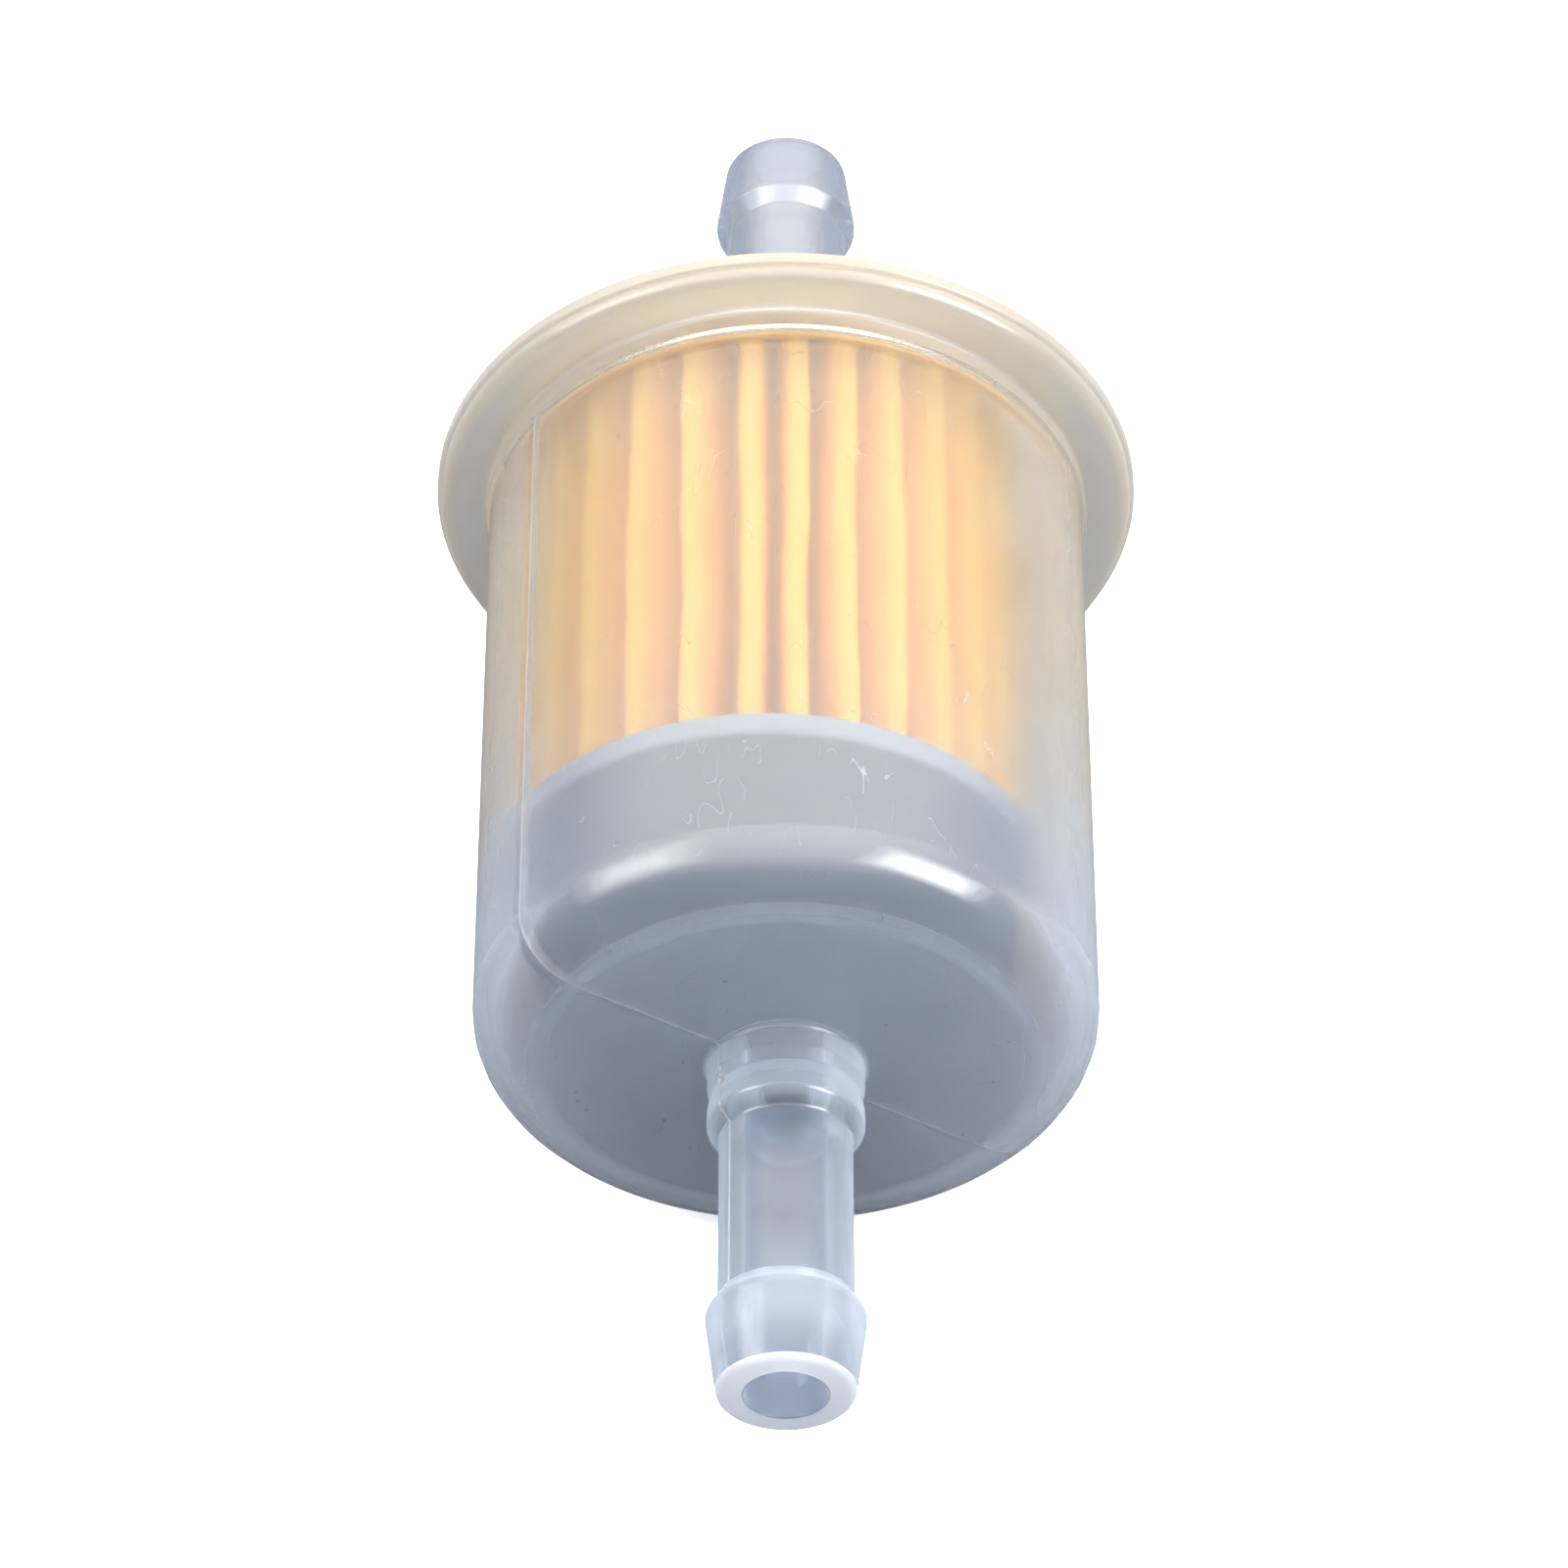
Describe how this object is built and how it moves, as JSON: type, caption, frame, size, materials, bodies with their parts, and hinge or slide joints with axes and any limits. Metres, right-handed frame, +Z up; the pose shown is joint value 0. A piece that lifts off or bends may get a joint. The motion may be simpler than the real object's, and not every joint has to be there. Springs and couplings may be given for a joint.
{
  "type": "fuel filter",
  "caption": "In-line fuel filter with a clear bowl, a flanged domed lid, barbed hose nipples at both ends and a pleated paper element inside.",
  "frame": {"origin": "on the flow axis, halfway between the tips of the two nipples", "axes": "+Y along the flow axis from the inlet nipple in the bowl to the outlet nipple in the lid, +Z up with the filter lying on its side, +X to the right"},
  "size_m": [0.0456, 0.0984, 0.0456],
  "materials": {
    "housing": "natural milky translucent nylon, smooth moulded",
    "weld": "amber translucent bead",
    "paper": "resin-treated pleated filter paper, fibrous and matte",
    "end_cap": "satin milky white moulded plastic",
    "adhesive": "cured amber potting adhesive"
  },
  "bodies": {
    "root": {"bowl": "housing", "lid": "housing", "weld_bead": "weld", "pleated_paper": "paper", "paper_seam": "adhesive", "lower_end_cap": "end_cap", "upper_end_cap": "end_cap", "lower_bond": "adhesive", "upper_bond": "adhesive"}
  },
  "joints": []
}
